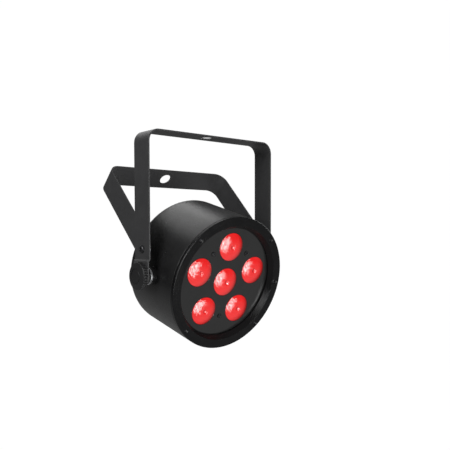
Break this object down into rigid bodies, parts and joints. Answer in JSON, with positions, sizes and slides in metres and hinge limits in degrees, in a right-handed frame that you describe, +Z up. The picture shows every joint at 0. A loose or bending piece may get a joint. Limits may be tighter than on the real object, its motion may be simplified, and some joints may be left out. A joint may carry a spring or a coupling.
{
  "type": "par can light",
  "caption": "Round stage wash light: short drum with a ring of domed lenses, hung in a bent strip yoke with a hinged rear bracket and side knobs.",
  "frame": {"origin": "centre of the clamp hole on the upper face of the front yoke's top bar, where the light hangs", "axes": "+X along the pivot line, to the right for someone facing the lenses; the beam leaves towards -Y, 15.3 degrees nose down; +Z up"},
  "size_m": [0.1916, 0.1511, 0.2353],
  "materials": {
    "strip_black": "black powder coat, satin",
    "housing_black": "black powder coat, satin",
    "bezel_black": "black powder coat, fine texture",
    "plate_black": "black, half gloss",
    "screw_black": "black oxide",
    "zinc": "bright zinc plate",
    "lens_red": "clear moulded optic seen lit red",
    "knob_black": "black moulded nylon, fine grain",
    "nylon_black": "black nylon",
    "rubber_black": "black friction rubber",
    "holder_black": "black moulding",
    "led_chip": "emitter under a clear dome",
    "board_white": "white solder mask on a metal-core board",
    "board_green": "green solder mask",
    "aluminium": "extruded, bare",
    "brass": "turned",
    "copper": "wound enamelled wire",
    "core_grey": "ferrite and tape",
    "cap_blue": "printed sleeve without text",
    "chip_black": "moulded package",
    "window_dark": "smoked window",
    "button_grey": "soft key",
    "socket_black": "black moulding",
    "socket_blue": "blue moulding",
    "socket_grey": "light grey moulding",
    "gold_pin": "gold flash"
  },
  "bodies": {
    "front_yoke": {"front_yoke": "strip_black", "hinge_screws": "screw_black", "hinge_nuts": "zinc", "hinge_washers": "nylon_black"},
    "rear_bracket": {"rear_bracket": "strip_black"},
    "left_knob_washer": {"left_knob_washer": "nylon_black"},
    "left_knob": {"left_knob": "knob_black", "left_knob_stud": "zinc"},
    "right_knob_washer": {"right_knob_washer": "nylon_black"},
    "right_knob": {"right_knob": "knob_black", "right_knob_stud": "zinc"},
    "menu_button_1": {"menu_button_1": "button_grey"},
    "menu_button_2": {"menu_button_2": "button_grey"},
    "menu_button_3": {"menu_button_3": "button_grey"},
    "menu_button_4": {"menu_button_4": "button_grey"},
    "dmx_latch": {"dmx_latch": "zinc"},
    "head": {"bezel_screws": "screw_black", "board_screws": "zinc", "board_spacers": "brass", "boss_inserts": "brass", "boss_washers": "zinc", "button_switches": "chip_black", "capacitors": "cap_blue", "chokes": "copper", "control_board": "board_green", "display_module": "chip_black", "display_window": "window_dark", "dmx_in_insert": "socket_black", "dmx_in_pins": "gold_pin", "dmx_in_shell": "socket_black", "dmx_out_insert": "socket_black", "dmx_out_shell": "socket_black", "drive_chips": "chip_black", "drum_housing": "housing_black", "friction_sleeves": "rubber_black", "front_bezel": "bezel_black", "heat_sink": "aluminium", "led_board": "board_white", "led_emitters": "led_chip", "lens_1": "lens_red", "lens_2": "lens_red", "lens_3": "lens_red", "lens_4": "lens_red", "lens_5": "lens_red", "lens_6": "lens_red", "lens_holders": "holder_black", "lens_plate": "plate_black", "plate_screws": "screw_black", "plate_standoffs": "brass", "power_board": "board_green", "power_board_screws": "zinc", "power_in_core": "socket_blue", "power_in_shell": "socket_black", "power_out_core": "socket_grey", "power_out_shell": "socket_black", "rear_panel": "housing_black", "rear_panel_screws": "screw_black", "safety_loop": "zinc", "sink_posts": "zinc", "transformer": "core_grey"}
  },
  "joints": [
    {"name": "rear_bracket_hinge", "type": "hinge", "parent": "front_yoke", "child": "rear_bracket", "pos_m": [0, 0, -0.1242], "axis": [-1, 0, 0], "range_deg": [-44.6, 65.4]},
    {"name": "head_tilt", "type": "hinge", "parent": "front_yoke", "child": "head", "pos_m": [0, 0, -0.15255], "axis": [1, 0, 0], "range_deg": [-105.3, 74.7]},
    {"name": "left_knob_turn", "type": "hinge", "parent": "left_knob_washer", "child": "left_knob", "pos_m": [-0.092, 0, -0.15255], "axis": [-1, 0, 0], "range_deg": [0, 1080]},
    {"name": "left_knob_travel", "type": "slide", "parent": "head", "child": "left_knob_washer", "axis": [-1, 0, 0], "range_m": [0, 0.00375]},
    {"name": "right_knob_turn", "type": "hinge", "parent": "right_knob_washer", "child": "right_knob", "pos_m": [0.092, 0, -0.15255], "axis": [1, 0, 0], "range_deg": [0, 1080]},
    {"name": "right_knob_travel", "type": "slide", "parent": "head", "child": "right_knob_washer", "axis": [1, 0, 0], "range_m": [0, 0.00375]},
    {"name": "menu_button_1_press", "type": "slide", "parent": "head", "child": "menu_button_1", "axis": [0, -0.9646, -0.2639], "range_m": [0, 0.0009], "stiffness_N_per_m": 300, "springref_m": -0.0005},
    {"name": "menu_button_2_press", "type": "slide", "parent": "head", "child": "menu_button_2", "axis": [0, -0.9646, -0.2639], "range_m": [0, 0.0009], "stiffness_N_per_m": 300, "springref_m": -0.0005},
    {"name": "menu_button_3_press", "type": "slide", "parent": "head", "child": "menu_button_3", "axis": [0, -0.9646, -0.2639], "range_m": [0, 0.0009], "stiffness_N_per_m": 300, "springref_m": -0.0005},
    {"name": "menu_button_4_press", "type": "slide", "parent": "head", "child": "menu_button_4", "axis": [0, -0.9646, -0.2639], "range_m": [0, 0.0009], "stiffness_N_per_m": 300, "springref_m": -0.0005},
    {"name": "dmx_latch_press", "type": "slide", "parent": "head", "child": "dmx_latch", "axis": [0, -0.9646, -0.2639], "range_m": [0, 0.0014], "stiffness_N_per_m": 300, "springref_m": -0.0005}
  ],
  "couplings": [
    {"joint": "left_knob_turn", "follows": "left_knob_travel", "rad_per_m": 5026.5},
    {"joint": "right_knob_turn", "follows": "right_knob_travel", "rad_per_m": 5026.5}
  ]
}
